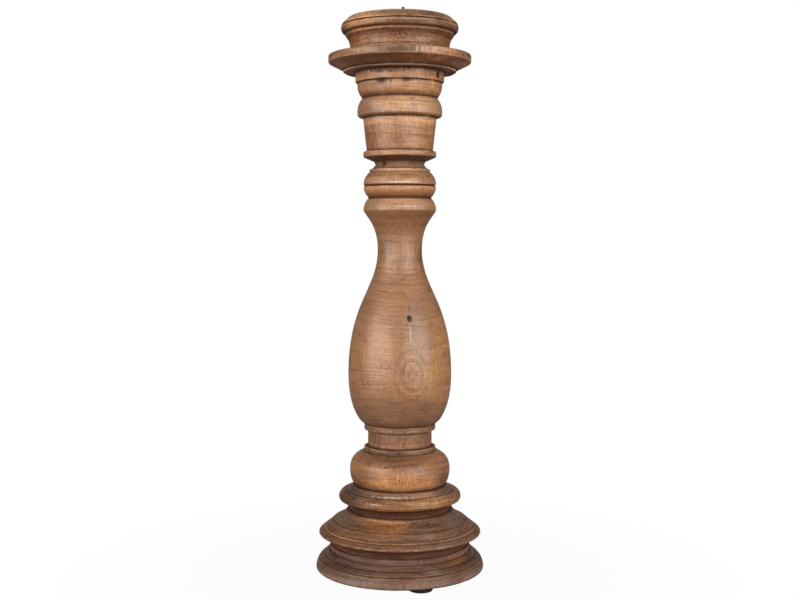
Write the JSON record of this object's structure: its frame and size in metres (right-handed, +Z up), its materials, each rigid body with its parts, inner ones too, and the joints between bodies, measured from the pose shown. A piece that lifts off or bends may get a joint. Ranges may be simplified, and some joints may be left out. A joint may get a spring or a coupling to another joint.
{
  "type": "pricket candle stand",
  "caption": "Tall turned wooden candle stand with a stepped round base on rubber feet, a vase-shaped stem, a wide drip plate and a shallow cup with an iron spike for a pillar candle.",
  "frame": {"origin": "on the axis of the turning, at the level of the surface that the feet rest on", "axes": "+Z up along the axis of the turning, -Y towards the front of the picture, +X to its right"},
  "size_m": [0.1788, 0.1788, 0.6],
  "materials": {
    "turned_wood": "waxed satin",
    "dowel_wood": "bare",
    "spike_iron": "blackened",
    "foot_rubber": "matte",
    "screw_steel": "zinc plated"
  },
  "bodies": {
    "root": {"plinth": "turned_wood", "base_board_wide": "turned_wood", "base_board_narrow": "turned_wood", "base_collar": "turned_wood", "bulb": "turned_wood", "vase": "turned_wood", "neck": "turned_wood", "capital": "turned_wood", "drip_plate": "turned_wood", "candle_cup": "turned_wood", "base_dowel": "dowel_wood", "vase_dowel": "dowel_wood", "neck_dowel": "dowel_wood", "capital_dowel": "dowel_wood", "cup_dowel": "dowel_wood", "pricket_spike": "spike_iron", "foot_1": "foot_rubber", "foot_2": "foot_rubber", "foot_3": "foot_rubber", "foot_screws": "screw_steel"}
  },
  "joints": []
}
